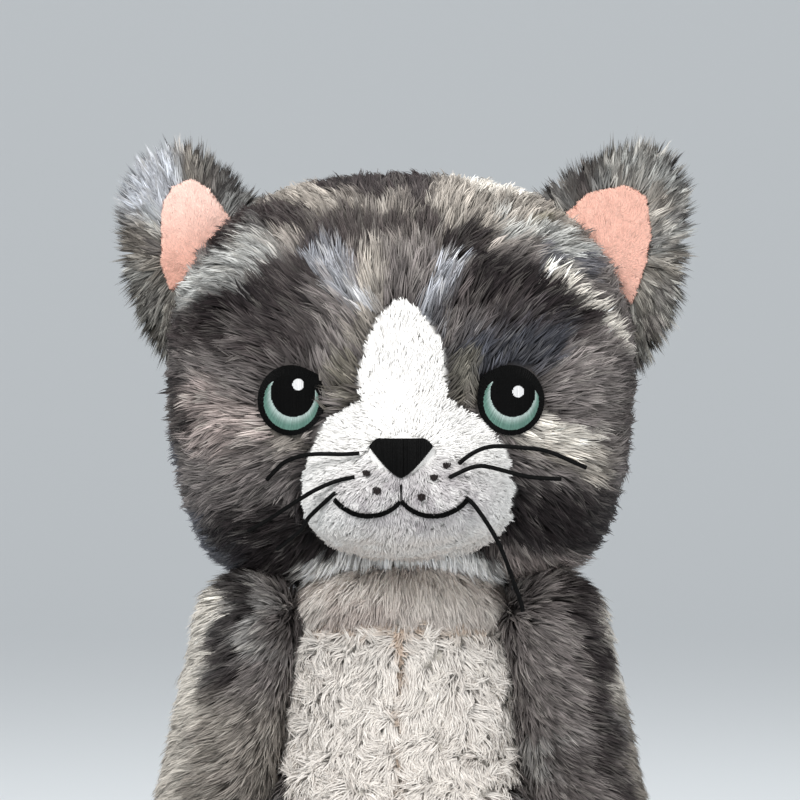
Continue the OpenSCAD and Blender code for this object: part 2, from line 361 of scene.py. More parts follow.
def write_mesh(name, vertices, loops, sizes, coat, normals=None, uvs=None):
    """Mesh from arrays: millimetre vertices, vertex index of each loop, and loops in each face."""
    mesh = bpy.data.meshes.new(name)
    mesh.vertices.add(len(vertices))
    mesh.vertices.foreach_set("co", (vertices * MM).astype(np.float32).ravel())
    mesh.loops.add(len(loops))
    mesh.loops.foreach_set("vertex_index", loops.astype(np.int32))
    mesh.polygons.add(len(sizes))
    mesh.polygons.foreach_set("loop_start", np.concatenate([[0], np.cumsum(sizes)[:-1]]).astype(np.int32))
    mesh.update(calc_edges=True)
    colours = np.concatenate([np.clip(coat, 0, 1), np.ones((len(coat), 1))], 1)
    layer = mesh.color_attributes.new("coat", "FLOAT_COLOR", "POINT")
    layer.data.foreach_set("color", colours.astype(np.float32).ravel())
    if uvs is not None:
        mesh.uv_layers.new(name="OFBake").data.foreach_set("uv", uvs.astype(np.float32).ravel())
    mesh.shade_smooth()
    if normals is not None:
        mesh.normals_split_custom_set_from_vertices(normals.astype(np.float32))
    return mesh


def add_piece(name, mesh, material, body, replaced=()):
    mesh.materials.append(material)
    piece = bpy.data.objects.new(name, mesh)
    bpy.context.scene.collection.objects.link(piece)
    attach(piece, body)
    if replaced:
        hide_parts(*replaced)
    return piece


FORM_SHADE = 0.45          # the fabric between the hairs is painted darker than the hairs: painted shade under the pile
PALE_FORM = 2.1            # brings the fabric under pale fur back to nearly full brightness


def add_form(name, surface, coat, body, replaced, inset=0.6):
    """Stuffed fabric form under the pile."""
    vertices = surface.vertices - surface.normal(surface.vertices) * inset
    vertices[:, 2] = np.maximum(vertices[:, 2], 0)
    triangles = surface.triangles
    sizes = np.full(len(triangles), 3)
    # The fabric's coat times FORM_SHADE: painted shade under the pile.
    mesh = write_mesh(name, vertices, triangles.ravel(), sizes, coat(surface.vertices) * FORM_SHADE)
    add_piece(name, mesh, FABRIC, body, replaced)


# ---------- pile ----------

SEGMENTS = 3
STRAND_POINTS = 2 * SEGMENTS + 1
# Share of the full width at each level from the root up; the tip is a point
TAPER = (1.0, 0.9, 0.6)


def strand_faces(count):
    """Loops and face sizes of strands that each have three levels of two points and a tip."""
    one = np.array([0, 1, 3, 2, 2, 3, 5, 4, 4, 5, 6])
    loops = (np.arange(count)[:, None] * STRAND_POINTS + one).ravel()
    return loops, np.tile([4, 4, 3], count)


def strand_uvs(count):
    """One small island for each strand, in rows, with the root at the lower edge."""
    tall = 2.5
    columns = math.ceil(math.sqrt(count * tall))
    rows = math.ceil(count / columns)
    column = np.arange(count) % columns
    row = np.arange(count) // columns
    u = np.array([0.2, 0.8, 0.8, 0.2, 0.2, 0.8, 0.8, 0.2, 0.2, 0.8, 0.5])
    v = np.array([0.06, 0.06, 0.36, 0.36, 0.36, 0.36, 0.66, 0.66, 0.66, 0.66, 0.94])
    return np.stack([(column[:, None] + u) / columns, (row[:, None] + v) / rows], -1).reshape(-1, 2)


# The ways that the plush is made, as settings of grow
SMOOTH_PILE = dict(tuft_r=1.7, lean=(56, 89), gather=0.6, frizz=0.03, swing=0.13, root_shade=0.55)
LIMB_PILE = dict(per_tuft=10, lean=(28, 76), gather=0.7, frizz=0.07)
SOCK_PILE = dict(material=SHORT_PILE, per_tuft=12, tuft_r=2.0, width=0.5, lean=(36, 82), gather=0.4,
                 frizz=0.08, root_shade=0.9, soft=0.8)


def grow(node, roots, normals, flow, coat, tips, body, slot, length, surface, seed, material=LONG_PILE,
         name=None, per_tuft=10, tuft_r=1.5, width=0.45, lean=(25, 72), gather=0.6, frizz=0.1,
         droop=0.0, swing=0.2, root_shade=0.5, soft=0.55, hug=True):
    """Pile that replaces a CAD panel: tufts of ribbons that lean along flow.

    coat and tips are the colours of each tuft, and length is one length or each tuft's. lean is the
    angle from the normal at the root and at the tip; gather draws a tuft's tips together. soft is how
    much of the fabric's normal shades a strand. hug keeps the flow along the fabric. root_shade is
    painted shade: how dark a strand is drawn at its root, deep in the pile.
    """
    rng = np.random.default_rng(seed)
    tufts = len(roots)
    flow = flow + rng.normal(0, 1e-3, flow.shape)
    outward = (flow * normals).sum(1, keepdims=True)
    along = unit(flow - (outward if hug else np.minimum(outward, 0)) * normals)
    side = unit(np.cross(along, normals + rng.normal(0, 1e-2, normals.shape)))
    turn = rng.normal(0, swing, (tufts, 1))
    along = along * np.cos(turn) + side * np.sin(turn)
    side = unit(np.cross(along, normals + rng.normal(0, 1e-2, normals.shape)))
    lean_from = np.radians(lean[0] + rng.normal(0, 7, (tufts, 1)))
    lean_to = np.radians(lean[1] + rng.normal(0, 7, (tufts, 1)))
    pressed = smoothstep(-0.3, -0.9, normals[:, 2]) * smoothstep(16, 6, roots[:, 2])
    tuft_length = length * rng.uniform(0.8, 1.15, tufts) * (1 - 0.65 * pressed)

    pick = np.repeat(np.arange(tufts), per_tuft)
    count = len(pick)
    angle = rng.uniform(0, 2 * np.pi, (count, 1))
    radius = tuft_r * np.sqrt(rng.uniform(size=(count, 1)))
    offset = (along[pick] * np.cos(angle) + side[pick] * np.sin(angle)) * radius
    base = surface.settle(roots[pick] + offset)
    strand_length = (tuft_length[pick] * rng.uniform(0.72, 1.0, count))[:, None]
    wobble = rng.normal(0, 1, (count, 3)) * frizz * strand_length

    levels = [base]
    for k in range(SEGMENTS):
        leaning = mix(lean_from, lean_to, k / (SEGMENTS - 1))
        heading = normals * np.cos(leaning) + along * np.sin(leaning)
        levels.append(levels[-1] + heading[pick] * strand_length / SEGMENTS)
    for k in range(1, SEGMENTS + 1):
        share = k / SEGMENTS
        bent = wobble - UP * droop * strand_length
        levels[k] = levels[k] - offset * gather * share + bent * share ** 2

    twist = rng.uniform(-0.9, 0.9, (count, 1))
    heading = unit(levels[-1] - levels[0])
    across = unit(side[pick] * np.cos(twist) + np.cross(side[pick], heading) * np.sin(twist))
    facing = unit(np.cross(across, heading))
    facing = facing * np.sign((facing * normals[pick]).sum(1, keepdims=True) + 1e-9)
    shading = unit(soft * normals[pick] + (1 - soft) * facing)
    strand_width = width * rng.uniform(0.75, 1.25, (count, 1))
    shade = rng.normal(1, 0.1, (count, 1))

    vertices = np.empty((count, STRAND_POINTS, 3))
    normal = np.empty_like(vertices)
    colour = np.empty_like(vertices)
    for k in range(SEGMENTS):
        half = across * strand_width * TAPER[k] / 2
        vertices[:, 2 * k] = levels[k] - half
        vertices[:, 2 * k + 1] = levels[k] + half
        normal[:, 2 * k] = unit(shading - 0.35 * across)
        normal[:, 2 * k + 1] = unit(shading + 0.35 * across)
        share = k / SEGMENTS
        # Roots are drawn darker by root_shade: painted shade deep in the pile.
        level_colour = mix(coat, tips, share ** 1.5)[pick] * mix(root_shade, 1, min(1, share * 1.6)) * shade
        colour[:, 2 * k] = level_colour
        colour[:, 2 * k + 1] = level_colour
    vertices[:, -1] = levels[-1]
    normal[:, -1] = shading
    colour[:, -1] = tips[pick] * shade
    floor_gap = 0.2
    vertices[:, :, 2] = np.maximum(vertices[:, :, 2], floor_gap)

    loops, sizes = strand_faces(count)
    name = name or node + "_plush"
    mesh = write_mesh(name, vertices.reshape(-1, 3), loops, sizes, colour.reshape(-1, 3),
                      normal.reshape(-1, 3), strand_uvs(count))
    add_piece(name, mesh, material, body, [node])


# ---------- coat colours ----------

BLACK_BROWN = srgb(32, 27, 28)
DARK = srgb(52, 46, 46)
SLATE = srgb(76, 78, 86)
BROWN_GREY = srgb(106, 100, 98)
PINK_GREY = srgb(160, 147, 142)
OLIVE = srgb(116, 111, 98)
TAN_GREY = srgb(150, 143, 134)
LIGHT_GREY = srgb(164, 165, 162)
BLUE_WHITE = srgb(182, 186, 194)
CREAM = srgb(226, 220, 210)
CHEST_LIGHT = srgb(222, 215, 208)
CHEST_SHADE = srgb(192, 181, 174)
WHITE = srgb(240, 238, 235)
BLACK = srgb(5, 5, 5)

# Marks of the tabby coat on the face: x and z of both ends from the head's centre, half width,
# colour and strength
FACE_MARKS = [
    (-50, 56, 50, 56, 15, TAN_GREY, 0.8),
    (-22, 63, 6, 62, 7, DARK, 1.0),
    (14, 69, 38, 59, 3.6, CREAM, 0.95),
    (-61, 42, -54, 51, 4.2, BLACK_BROWN, 1.0),
    (-54, 51, -34, 50, 5.5, DARK, 1.0),
    (-68, 25, -47, 39, 7.5, LIGHT_GREY, 0.85),
    (-74, 13, -55, 22, 7, DARK, 0.95),
    (-57, 21, -33, 27, 7.5, BLACK_BROWN, 1.0),
    (-36, 28, -25, 42, 6.5, DARK, 0.95),
    (-13, 14, -8, 36, 4.5, TAN_GREY, 0.85),
    (-22, 46, 8, 48, 6, DARK, 0.9),
    (8, 46, 24, 41, 4.5, DARK, 0.8),
    (19, 43, 30, 31, 7, BLACK_BROWN, 0.9),
    (28, 31, 54, 22, 7.5, BLACK_BROWN, 1.0),
    (54, 22, 68, 8, 6, BLACK_BROWN, 0.9),
    (-24, 37, -14, 24, 4.5, BLUE_WHITE, 0.55),
    (9, 19, 16, 34, 4, BLUE_WHITE, 0.7),
    (-54, 6, -40, 12, 5, DARK, 0.6),
    (-46, 12, -30, 15, 6, DARK, 0.85),
    (22, 6, 44, 14, 9, SLATE * 0.6, 0.95),
    (16, 24, 46, 19, 5, DARK, 0.8),
    (53, 2, 68, 12, 6, BROWN_GREY * 1.5, 0.8),
    (46, 38, 60, 36, 4, SLATE, 0.8),
    (34, 47, 60, 41, 3.6, LIGHT_GREY, 0.85),
    (42, 50, 48, 49, 2.4, OLIVE, 0.9),
    (50, 34, 71, 11, 2.8, CREAM, 0.9),
    (-64, -10, -52, -20, 9, PINK_GREY, 0.85),
    (-73, -2, -70, -17, 4, BLACK_BROWN, 0.85),
    (-76, -20, -71, -46, 3.5, SLATE, 0.85),
    (-56, -27, -38, -26, 5, BROWN_GREY * 0.7, 0.8),
    (-40, -14, -34, -20, 5, TAN_GREY, 0.8),
    (-64, -50, -55, -58, 8, SLATE, 0.9),
    (-50, -48, -26, -62, 11, BLACK_BROWN, 0.95),
    (-66, -36, -40, -36, 5.5, BROWN_GREY, 0.85),
    (42, -14, 60, -27, 7, TAN_GREY, 0.9),
    (37, -14, 58, -20, 6, CREAM, 0.75),
    (72, 0, 74, -28, 4, DARK, 0.7),
    (36, -42, 70, -44, 9, BLACK_BROWN, 0.9),
    (28, -48, 60, -51, 8, BLACK_BROWN, 0.9),
    (34, -62, 62, -66, 6, PINK_GREY, 0.6),
    (26, -56, 33, -66, 4, BLACK_BROWN, 0.9),
    (-20, 4, -20, -8, 5, OLIVE, 0.7),
    (19, 6, 22, -6, 4, OLIVE, 0.6),
]
MARK_WOBBLE = 1.8


def segment_distance(x, z, x0, z0, x1, z1):
    dx, dz = x1 - x0, z1 - z0
    t = np.clip(((x - x0) * dx + (z - z0) * dz) / (dx * dx + dz * dz), 0, 1)
    return np.hypot(x - x0 - t * dx, z - z0 - t * dz)


def tabby(points, wavelength, seed):
    """Brown-grey fur with dark and pale stripes, for the sides and back."""
    stripes = waves(points, wavelength, seed)
    pale = waves(points, wavelength * 1.4, seed + 1)
    colour = tiled(points, BROWN_GREY)
    colour = mix(colour, LIGHT_GREY, smoothstep(0.1, 1.2, pale)[:, None] * 0.8)
    colour = mix(colour, DARK, smoothstep(0.2, 0.9, stripes)[:, None] * 0.9)
    return mix(colour, BLACK_BROWN, smoothstep(1.0, 1.6, stripes)[:, None] * 0.8)


def face_coat(points):
    """Colour of the head's grey fur, from the marks in front and stripes behind."""
    local = points - HEAD
    x = local[:, 0] + MARK_WOBBLE * waves(points, 18, 3)
    z = local[:, 2] + MARK_WOBBLE * waves(points, 15, 4)
    colour = tiled(points, BROWN_GREY)
    for x0, z0, x1, z1, half_width, paint, strength in FACE_MARKS:
        away = segment_distance(x, z, x0, z0, x1, z1) / half_width
        colour = mix(colour, paint, (strength * smoothstep(1.35, 0.55, away))[:, None])
    behind = smoothstep(2, 22, local[:, 1] + 6 * smoothstep(45, 60, local[:, 2]))
    return mix(colour, tabby(points * [1, 0.6, 1.6], 40, 11), behind[:, None])


def streaked(colour, seed, spread=0.2):
    """Tuft colours with the brightness varied from one tuft to the next, as root and tip colours."""
    rng = np.random.default_rng(seed)
    count = len(colour)
    coat = colour * np.exp(rng.normal(0, spread, (count, 1)))
    bright = smoothstep(0.02, 0.3, colour.mean(1))[:, None]
    pale = (rng.uniform(size=(count, 1)) < 0.3) * rng.uniform(0.15, 0.5, (count, 1)) * mix(0.25, 1, bright)
    dark = (rng.uniform(size=(count, 1)) < 0.16) * rng.uniform(0.3, 0.8, (count, 1))
    tips = mix(mix(coat * 1.05, CREAM, pale), BLACK_BROWN, dark)
    return coat, tips


# ---------- head ----------

SKIN_INSET = 1.8           # the pile lies outside the CAD panel's face by about this much
HEAD_SKIN_HALF_W = HEAD_HALF_W - SKIN_INSET
HEAD_SKIN_R = HEAD_R - SKIN_INSET
JOWL_DROP = 3.0            # how much lower the full cheeks hang than a round head
eye_low, eye_high = cad_box("eye_left_outline")
EYE = np.array([(eye_high[0] - eye_low[0]) / 2, (eye_high[2] - eye_low[2]) / 2])
EYE_X = -(eye_low[0] + eye_high[0]) / 2 - 1.2
EYE_Z = (eye_low[2] + eye_high[2]) / 2


def head_ball(points):
    """Round from the side and boxy from the front, with full cheeks below."""
    local = points - HEAD
    distance = np.linalg.norm(local, axis=1)
    rise = local[:, 2] / np.maximum(distance, 1e-6)
    low = smoothstep(0.1, 0.9, -rise)
    power = 2.5 + 2.0 * low
    half_w = HEAD_SKIN_HALF_W * (1 - 0.02 * smoothstep(0.25, 0.6, -rise))
    ring = np.hypot(local[:, 1], local[:, 2])
    radius = HEAD_SKIN_R + JOWL_DROP * low * (1 - np.abs(local[:, 1]) / np.maximum(ring, 1e-6))
    reach = ((np.abs(local[:, 0]) / half_w) ** power + (ring / radius) ** power) ** (1 / power)
    return distance * (1 - 1 / np.maximum(reach, 1e-6))


def head_distance(points):
    folded = np.stack([np.abs(points[:, 0]), points[:, 1], points[:, 2]], 1)
    skin = head_ball(points)
    pile_room = 1.3
    muzzle_half = np.array([MUZZLE_HALF_W, MUZZLE_R, MUZZLE_R]) - pile_room
    skin = joined(skin, rounded(points, MUZZLE, muzzle_half, 2.3), 7)
    pad = rounded(folded, MUZZLE + [12.5, -8, -4.5], np.array([13.5, 16, 11]), 2)
    skin = joined(skin, pad, 5)
    nose_bridge = rounded(points, MUZZLE + [0, -5, 15], np.array([15, 15, 17]), 2)
    skin = joined(skin, nose_bridge, 10)
    socket = np.linalg.norm(folded - [EYE_X, -82, EYE_Z], axis=1) - 20
    return dented(skin, socket, 8)


HEAD_SURFACE = star_surface(head_distance, HEAD, 120, 7)

# Edge of the white fur: heights from the muzzle's centre, each with the half width there
WHITE_EDGE = [(-24.5, 0), (-23.5, 13), (-21.5, 22), (-17.5, 28.8), (-11, 33), (-2, 33.8), (5, 33), (8, 32),
              (12, 30.4), (18, 26.4), (21, 22.6), (24, 17), (26, 14), (34, 13.8), (41, 12.8), (46, 11.4),
              (51, 8.4), (55, 5), (58, 0)]
NOT_IN_FRONT = 99.0        # margin of points that the white fur and the eyes can't reach


def white_margin(points):
    """Sideways distance to the edge of the white fur in front, negative inside it."""
    edge = np.interp(points[:, 2] - MUZZLE_Z, *zip(*WHITE_EDGE), left=-20, right=-20)
    edge = edge + 0.5 * waves(points, 9, 21)
    middle = 0.6 + 1.7 * smoothstep(25, 8, points[:, 2] - MUZZLE_Z)
    return np.where(points[:, 1] < -25, np.abs(points[:, 0] - middle) - edge, NOT_IN_FRONT)


def eye_margin(points):
    """How far a point is outside the nearer eye's outline, in millimetres."""
    reach = np.hypot((np.abs(points[:, 0]) - EYE_X) / EYE[0], (points[:, 2] - EYE_Z) / EYE[1])
    return np.where(points[:, 1] < 0, (reach - 1) * EYE.mean(), NOT_IN_FRONT)


def face_flow(points):
    """Fur on the head lies away from the nose bridge and the eyes, and down at the back."""
    source_z = HEAD[2] - 9 + 0.3 * (points[:, 2] - HEAD[2])
    source = np.stack([np.zeros(len(points)), np.full(len(points), -70.0), source_z], 1)
    flow = unit(points - source)
    eye = np.stack([np.sign(points[:, 0]) * EYE_X, points[:, 1], np.full(len(points), EYE_Z)], 1)
    near_eye = np.exp(-np.maximum(eye_margin(points), 0) / 4)[:, None]
    flow = flow + 1.5 * near_eye * unit(points - eye) + 0.8 * near_eye * UP
    flow = flow + 0.25 * swirl(points, 35, 31)
    return flow - UP * (2.5 * smoothstep(15, 55, points[:, 1]))[:, None]


FACE_BACK_Y = 8            # where the face panels end and the back of the head begins


def grow_head():
    points, normals = HEAD_SURFACE.scatter(25000, 5)
    white = white_margin(points)
    eye = eye_margin(points)
    flow = face_flow(points)
    coat = face_coat(points + unit(flow) * 5)
    # A dark line along the edge of the white fur: painted seam shadow.
    coat = mix(coat, BLACK_BROWN, (0.5 * smoothstep(2.5, 0.5, white))[:, None])
    # The fur under the chin is white, and painted brighter than white: painted light against the shadow below
    # the chin.
    under_chin = smoothstep(32, 26, np.abs(points[:, 0])) * smoothstep(140, 136, points[:, 2])
    under_chin = under_chin * smoothstep(-8, -14, points[:, 1])
    coat = mix(coat, WHITE * 1.8, 0.9 * under_chin[:, None])
    length = 12 - 5 * np.exp(-np.maximum(eye, 0) / 6) - 5 * np.exp(-np.maximum(white, 0) / 5)
    grey = (white > 0) & (eye > 0.4)
    face = grey & (points[:, 1] < FACE_BACK_Y)
    regions = {
        "face_left": face & (points[:, 0] < 0),
        "face_right": face & (points[:, 0] >= 0),
        "head_back": grey & ~face,
    }
    for k, (node, chosen) in enumerate(regions.items()):
        root, tips = streaked(coat[chosen], 50 + k, 0.32)
        behind = node == "head_back"
        grow(node, *only(chosen, points, normals, flow), root, tips, "head", "grey_fur", length[chosen],
             HEAD_SURFACE, 60 + k, per_tuft=3 if behind else 6, width=0.75 if behind else 0.48, droop=0.04,
             **SMOOTH_PILE)


def mouth_margin(points):
    """Distance to the mouth line in front, in millimetres."""
    along_x = np.abs(points[:, 0])
    return np.abs(np.hypot(along_x - MOUTH_ARC_X, points[:, 2] - MOUTH_ARC_Z) - MOUTH_ARC_R)


nose_low, nose_high = cad_box("nose")
mouth_low, mouth_high = cad_box("mouth_stitches")
MOUTH_ARC_R = 13.4
MOUTH_ARC_X = 9.9
MOUTH_ARC_Z = mouth_low[2] + MOUTH_ARC_R + 2.4


def grow_muzzle():
    points, normals = HEAD_SURFACE.scatter(62000, 6)
    white = white_margin(points)
    nose = rounded(points * [1, 0, 1], np.array([0, 0, (nose_low[2] + nose_high[2]) / 2 + 1.5]),
                   np.array([10.5, 5, 6.5]), 1.8)
    keep = (white < -1.4) & (eye_margin(points) > 0.3) & (nose > 0)
    points, normals = only(keep, points, normals)
    source = np.array([0, -78, MUZZLE_Z + 10.0])
    flow = unit(points - source) + 0.35 * swirl(points, 12, 41)
    shade = 1 - 0.05 * smoothstep(0.3, 1.5, waves(points, 7, 44))
    # Grey on the whisker pads around the mouth: painted shade.
    pad_shade = np.hypot((points[:, 0] - 4) / 28, (points[:, 2] - MUZZLE_Z + 4) / 15)
    pad_shade = smoothstep(1.15, 0.5, pad_shade) * (0.75 + 0.25 * waves(points, 5, 45))
    chin = smoothstep(-10, -20, points[:, 2] - MUZZLE_Z)
    chin = chin * (0.7 + 0.3 * waves(points * [0.3, 1, 1], 6, 46))
    coat = WHITE * 0.92 * shade[:, None]
    coat = mix(coat, srgb(150, 144, 147), 0.85 * np.clip(pad_shade, 0, 1)[:, None])
    coat = mix(coat, srgb(214, 205, 198), chin[:, None])
    length = 3.2 - 1.4 * np.exp(-mouth_margin(points) / 1.5) - 1.2 * smoothstep(-5, -1.4, white[keep])
    grow("muzzle_panel", points, normals, flow, coat, coat * 1.02, "head", "white_plush", length,
         HEAD_SURFACE, 70, SHORT_PILE, name="muzzle_plush", per_tuft=6, tuft_r=1.3, width=0.5, lean=(48, 86),
         gather=0.3, frizz=0.08, root_shade=0.97, soft=0.93)


def head_form_coat(points):
    inside = smoothstep(1, -1, white_margin(points))[:, None]
    return mix(face_coat(points), WHITE * PALE_FORM, inside)


add_form("head_form", HEAD_SURFACE, head_form_coat, "head",
         ["head_stuffing", "muzzle_stuffing"])
grow_head()
grow_muzzle()


# ---------- embroidery ----------

def add_stitches(name, node, starts, ends, colour, width, crown, lift, seed, start_colour=None):
    """Satin threads on the head that replace a CAD node, each from a start to an end in x and z."""
    rng = np.random.default_rng(seed)
    starts, ends = np.asarray(starts, float), np.asarray(ends, float)
    count = len(starts)
    stations = 6
    t = np.linspace(0, 1, stations)
    flat = (starts[:, None] + (ends - starts)[:, None] * t[None, :, None]).reshape(-1, 2)
    middle = HEAD_SURFACE.front(flat[:, 0], flat[:, 1])
    normal = HEAD_SURFACE.normal(middle)
    rise = lift + crown * np.sqrt(np.sin(np.pi * np.clip(t, 0.02, 0.98)))
    rise = np.tile(rise, count) * np.repeat(rng.uniform(0.9, 1.1, count), stations)
    middle = middle + normal * rise[:, None]
    threads = middle.reshape(count, stations, 3)
    run = np.repeat(unit(threads[:, -1] - threads[:, 0]), stations, 0)
    across = unit(np.cross(run, normal))
    section = [(-0.5, -0.35), (-0.3, 0.12), (0.0, 0.25), (0.3, 0.12), (0.5, -0.35)]
    ring = len(section)
    vertices = np.stack([middle + across * width * u + normal * width * v for u, v in section], 1)
    normals = np.stack([unit(normal * (0.6 + v) + across * u * 1.4) for u, v in section], 1)
    grid = np.arange(count * stations * ring).reshape(count, stations, ring)
    faces = np.stack([grid[:, :-1, :-1], grid[:, :-1, 1:], grid[:, 1:, 1:], grid[:, 1:, :-1]], -1)
    faces = faces.reshape(-1, 4)
    shade = np.repeat(rng.uniform(0.85, 1.15, count), stations * ring)
    first = colour if start_colour is None else start_colour
    tone = np.tile(np.repeat(mix(first, colour, smoothstep(0, 0.6, t)[:, None]), ring, 0), (count, 1))
    mesh = write_mesh(name, vertices.reshape(-1, 3), faces.ravel(), np.full(len(faces), 4),
                      tone * shade[:, None], normals.reshape(-1, 3))
    add_piece(name, mesh, THREAD, "head", [node])


def ellipse(centre, half, angle):
    return np.stack([centre[0] + half[0] * np.cos(angle), centre[1] + half[1] * np.sin(angle)], -1)


def inside_ellipse(points, centre, half):
    return np.hypot((points[..., 0] - centre[0]) / half[0], (points[..., 1] - centre[1]) / half[1]) < 1


def rows(inside, low_x, high_x, low_z, high_z, step):
    """Upright stitches that fill a flat shape."""
    starts, ends = [], []
    z = np.arange(low_z, high_z, 0.1)
    for x in np.arange(low_x, high_x, step):
        hit = inside(np.stack([np.full(len(z), x), z], 1))
        edges = np.flatnonzero(np.diff(np.concatenate([[0], hit.astype(int), [0]])))
        for first, last in edges.reshape(-1, 2):
            starts.append((x, z[first]))
            ends.append((x, z[last - 1]))
    return starts, ends


IRIS_COLOUR = srgb(84, 114, 104)
# Pale inner edge of the iris, where the threads start: a painted highlight.
IRIS_INNER_HIGHLIGHT = srgb(158, 172, 168)
GLINT = srgb(205, 205, 205)


def add_eye(side_name):
    side = SIDES[side_name]
    centre = np.array([side * EYE_X, EYE_Z])
    iris = np.array([centre[0], EYE_Z - 0.6])
    iris_half = np.array([8.8, 9.0])
    pupil = np.array([centre[0] + 0.6, EYE_Z + 2.4])
    pupil_half = np.array([7.0, 7.7])
    glint_low, glint_high = cad_box(f"eye_{side_name}_glint")
    glint = np.array([glint_low[0] + glint_high[0], glint_low[2] + glint_high[2]]) / 2
    glint = glint + ([1.3, 0] if side < 0 else [-1.2, -2.2])
    glint_half = np.array([1.7, 1.9])
    angle = np.radians(np.arange(0, 360, 2.0))
    lid_angle = math.radians(38 if side < 0 else 142)
    lid = 1.0 * np.exp(-(((angle - lid_angle) / 0.25) ** 2))
    outer = ellipse(centre, EYE, angle) + np.stack([np.cos(angle), np.sin(angle)], 1) * lid[:, None]
    inner = ellipse(iris, iris_half - 0.3, angle)
    name = "eye_" + side_name
    add_stitches(name + "_outline_satin", name + "_outline", inner, outer, BLACK,
                 width=0.62, crown=0.45, lift=0.9, seed=81)
    rim = ellipse(iris, iris_half + 0.2, angle)
    hole = ellipse(pupil, pupil_half - 0.2, angle)
    shown = inside_ellipse(hole, iris, iris_half - 0.4)
    add_stitches(name + "_iris_satin", name + "_iris", hole[shown], rim[shown], IRIS_COLOUR,
                 width=0.6, crown=0.3, lift=0.8, seed=82, start_colour=IRIS_INNER_HIGHLIGHT)

    def in_pupil(points):
        return inside_ellipse(points, pupil, pupil_half) & inside_ellipse(points, iris, iris_half + 0.4)

    starts, ends = rows(in_pupil, pupil[0] - 7.4, pupil[0] + 7.4, pupil[1] - 9, pupil[1] + 9, 0.36)
    add_stitches(name + "_pupil_satin", name + "_pupil", starts, ends, BLACK,
                 width=0.55, crown=0.35, lift=1.0, seed=83)
    starts, ends = rows(lambda p: inside_ellipse(p, glint, glint_half), glint[0] - 2.3, glint[0] + 2.3,
                        glint[1] - 3, glint[1] + 3, 0.34)
    add_stitches(name + "_glint_satin", name + "_glint", starts, ends, GLINT,
                 width=0.5, crown=0.3, lift=1.6, seed=84)


def in_nose(points):
    half_w = (nose_high[0] - nose_low[0]) / 2 - 0.3
    height = nose_high[2] - nose_low[2]
    u = np.abs(points[:, 0]) / half_w
    top = nose_high[2] - height * 0.24 * np.clip((u - 0.6) / 0.4, 0, 1) ** 2.5
    bottom = nose_low[2] + height * 0.78 * u ** 1.45
    return (u < 1) & (points[:, 1] < top) & (points[:, 1] > bottom)


def add_nose():
    starts, ends = rows(in_nose, nose_low[0] - 1, nose_high[0] + 1, nose_low[2] - 1, nose_high[2] + 1, 0.36)
    add_stitches("nose_satin", "nose", starts, ends, BLACK, width=0.58, crown=1.1, lift=1.4,
                 seed=85)


def add_mouth():
    """Close short stitches across a curved line, like a cord laid on the muzzle."""
    line = []
    for side in SIDES.values():
        low, high = math.radians(-42), math.radians(-136)
        for angle in np.arange(low, high, -0.03):
            line.append((side * MOUTH_ARC_X + side * MOUTH_ARC_R * math.cos(angle),
                         MOUTH_ARC_Z + MOUTH_ARC_R * math.sin(angle),
                         side * math.cos(angle), math.sin(angle)))
    for z in np.arange(mouth_low[2] + 6.5, nose_low[2] - 2, 0.45):
        line.append((0.0, z, 0.5, 0.0))
    line = np.array(line)
    half = 0.7
    slant = np.stack([-line[:, 3], line[:, 2]], 1) * 0.25
    starts = line[:, :2] - (line[:, 2:] + slant) * half
    ends = line[:, :2] + (line[:, 2:] + slant) * half
    add_stitches("mouth_satin", "mouth_stitches", starts, ends, BLACK, width=0.5, crown=0.45,
                 lift=1.3, seed=86)


# Freckles from the muzzle's centre, in x and z
FRECKLES = [(-10.6, 3), (-7.7, -2.2), (13.8, 5.4), (10.2, 1.6), (6.7, -4)]


def add_freckles():
    starts, ends = [], []
    for x, z in FRECKLES:
        for step in (-0.8, -0.4, 0, 0.4, 0.8):
            starts.append((x + step, MUZZLE_Z + z - 1.2 + abs(step) * 0.6))
            ends.append((x + step * 1.3, MUZZLE_Z + z + 1.1 - abs(step) * 0.4))
    add_stitches("freckle_satin", "freckle_stitches", starts, ends, DARK * 0.5, width=0.5,
                 crown=0.4, lift=1.5, seed=87)


for eye_side in SIDES:
    add_eye(eye_side)
add_nose()
add_mouth()
add_freckles()


# ---------- ears ----------

PINK = srgb(240, 208, 196)
DEEP_PINK = srgb(226, 176, 158)

# Fabric outlines of the ears, as distances from the middle and heights
EAR_OUTLINES = {
    "left": [(50, 245), (57, 250.5), (65, 261), (71, 263), (83, 257), (86, 248), (83, 228), (78, 212),
             (70, 202)],
    "right": [(46, 247), (56, 253), (67, 261), (76, 264), (86, 259), (88, 248), (86, 226), (79, 208),
              (71, 200)],
}
LINING_OUTLINES = {
    "left": [(52, 240), (57.5, 247.5), (63, 255), (68, 258.3), (74, 256), (77, 251), (77.5, 232),
             (74.5, 223)],
    "right": [(50, 240), (52.5, 245.5), (61, 253.5), (73, 256.3), (79.5, 253), (81, 240), (78, 228),
              (75, 219)],
}


def plate_distance(outline, side, low_y, high_y, rounding):
    """Distance to a flat plate with a convex outline and rounded edges."""
    corners = np.array(outline) * [side, 1]
    angle = np.radians(np.arange(0, 360, 6))
    outward = np.stack([np.cos(angle), np.sin(angle)])
    support = (corners @ outward).max(0)

    def distance(points):
        edge = (points[:, [0, 2]] @ outward - support).max(1) + rounding
        thick = np.abs(points[:, 1] - (low_y + high_y) / 2) - (high_y - low_y) / 2 + rounding
        outside = np.hypot(np.maximum(edge, 0), np.maximum(thick, 0))
        return outside + np.minimum(np.maximum(edge, thick), 0) - rounding

    return distance


